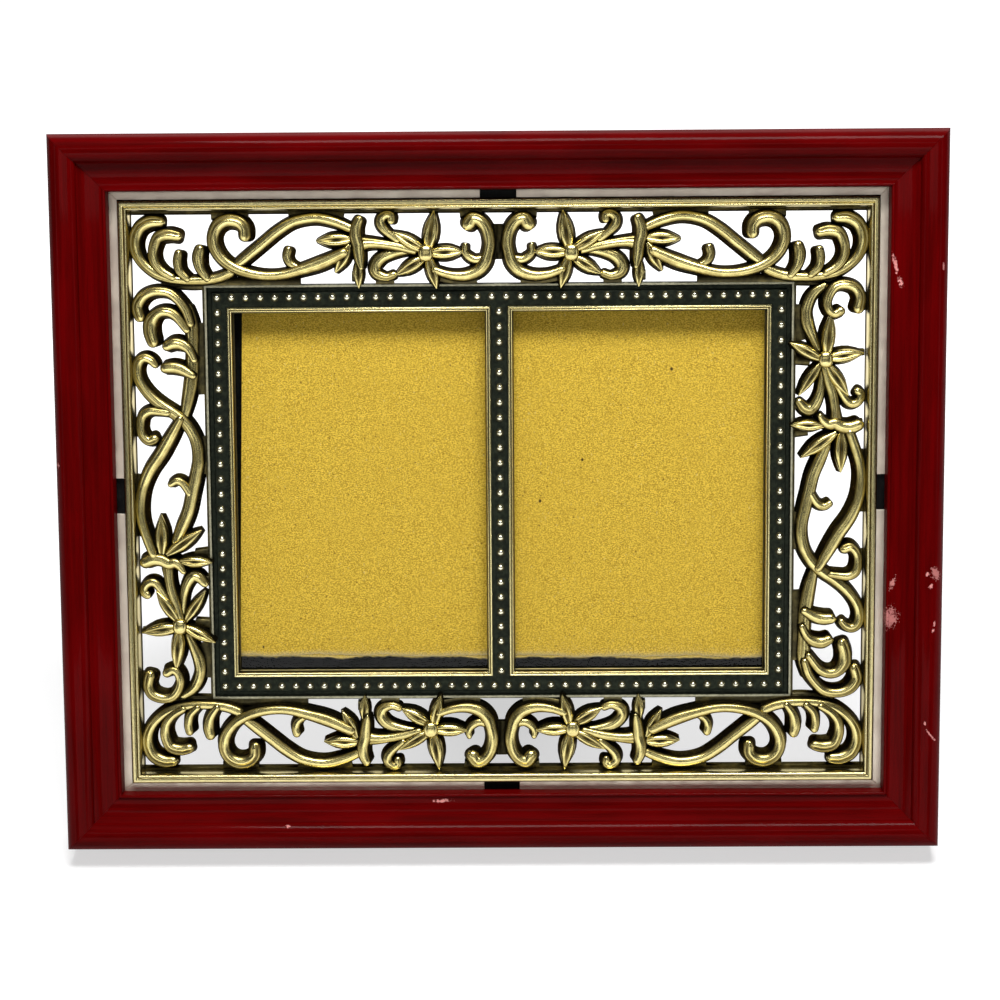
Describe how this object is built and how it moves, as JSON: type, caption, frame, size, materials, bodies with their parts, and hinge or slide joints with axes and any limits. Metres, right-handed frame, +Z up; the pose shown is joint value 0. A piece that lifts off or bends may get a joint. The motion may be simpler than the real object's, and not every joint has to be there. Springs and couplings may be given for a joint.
{
  "type": "divided photo frame",
  "caption": "Divided photo frame for wallet photos: mitred red-lacquered wood round an openwork scroll-and-flower metal insert with beaded windows, on an easel leg.",
  "frame": {"origin": "middle of the ground that the standing part covers, at ground level", "axes": "+Z up, -Y the way that the front faces, leaning back 18 degrees, +X to the right seen from the front"},
  "size_m": [0.2068, 0.0984, 0.1649],
  "materials": {
    "lacquered_wood": "glossy cherry-red lacquer, worn at the edges",
    "antique_brass": "antique brass, bright crowns and dark recesses",
    "dark_patina": "green-black patina with rubbed bright beads",
    "clear_glass": "clear",
    "kraft_board": "matt, flecked with fibres",
    "black_board": "matt black covered board",
    "black_steel": "black",
    "bright_steel": "zinc plated"
  },
  "bodies": {
    "frame": {"top_rail": "lacquered_wood", "bottom_rail": "lacquered_wood", "left_rail": "lacquered_wood", "right_rail": "lacquered_wood", "corner_nails": "bright_steel", "metal_rim": "antique_brass", "top_filigree": "antique_brass", "bottom_filigree": "antique_brass", "left_filigree": "antique_brass", "right_filigree": "antique_brass", "window_border": "dark_patina", "left_glass": "clear_glass", "right_glass": "clear_glass", "backing_board": "kraft_board", "back_panel": "black_board", "retaining_clips": "black_steel", "clip_screws": "bright_steel", "panel_leaf": "bright_steel", "hinge_pin": "bright_steel", "panel_rivets": "bright_steel", "button_rivets": "bright_steel"},
    "leg": {"leg_leaf": "bright_steel", "leg_rivets": "bright_steel", "easel_leg": "black_board"},
    "turn_top_left": {"top_left_button": "bright_steel"},
    "turn_top_right": {"top_right_button": "bright_steel"},
    "turn_bottom_left": {"bottom_left_button": "bright_steel"},
    "turn_bottom_right": {"bottom_right_button": "bright_steel"}
  },
  "joints": [
    {"name": "easel_hinge", "type": "hinge", "parent": "frame", "child": "leg", "pos_m": [0, 0.007, 0.11455], "axis": [1, 0, 0], "range_deg": [-36, 0]},
    {"name": "top_left_pivot", "type": "hinge", "parent": "frame", "child": "turn_top_left", "pos_m": [-0.046, 0.00903, 0.12467], "axis": [0, -0.9511, 0.309], "range_deg": [-90, 90]},
    {"name": "top_right_pivot", "type": "hinge", "parent": "frame", "child": "turn_top_right", "pos_m": [0.046, 0.00903, 0.12467], "axis": [0, -0.9511, 0.309], "range_deg": [-90, 90]},
    {"name": "bottom_left_pivot", "type": "hinge", "parent": "frame", "child": "turn_bottom_left", "pos_m": [-0.046, -0.02008, 0.03508], "axis": [0, -0.9511, 0.309], "range_deg": [-90, 90]},
    {"name": "bottom_right_pivot", "type": "hinge", "parent": "frame", "child": "turn_bottom_right", "pos_m": [0.046, -0.02008, 0.03508], "axis": [0, -0.9511, 0.309], "range_deg": [-90, 90]}
  ]
}
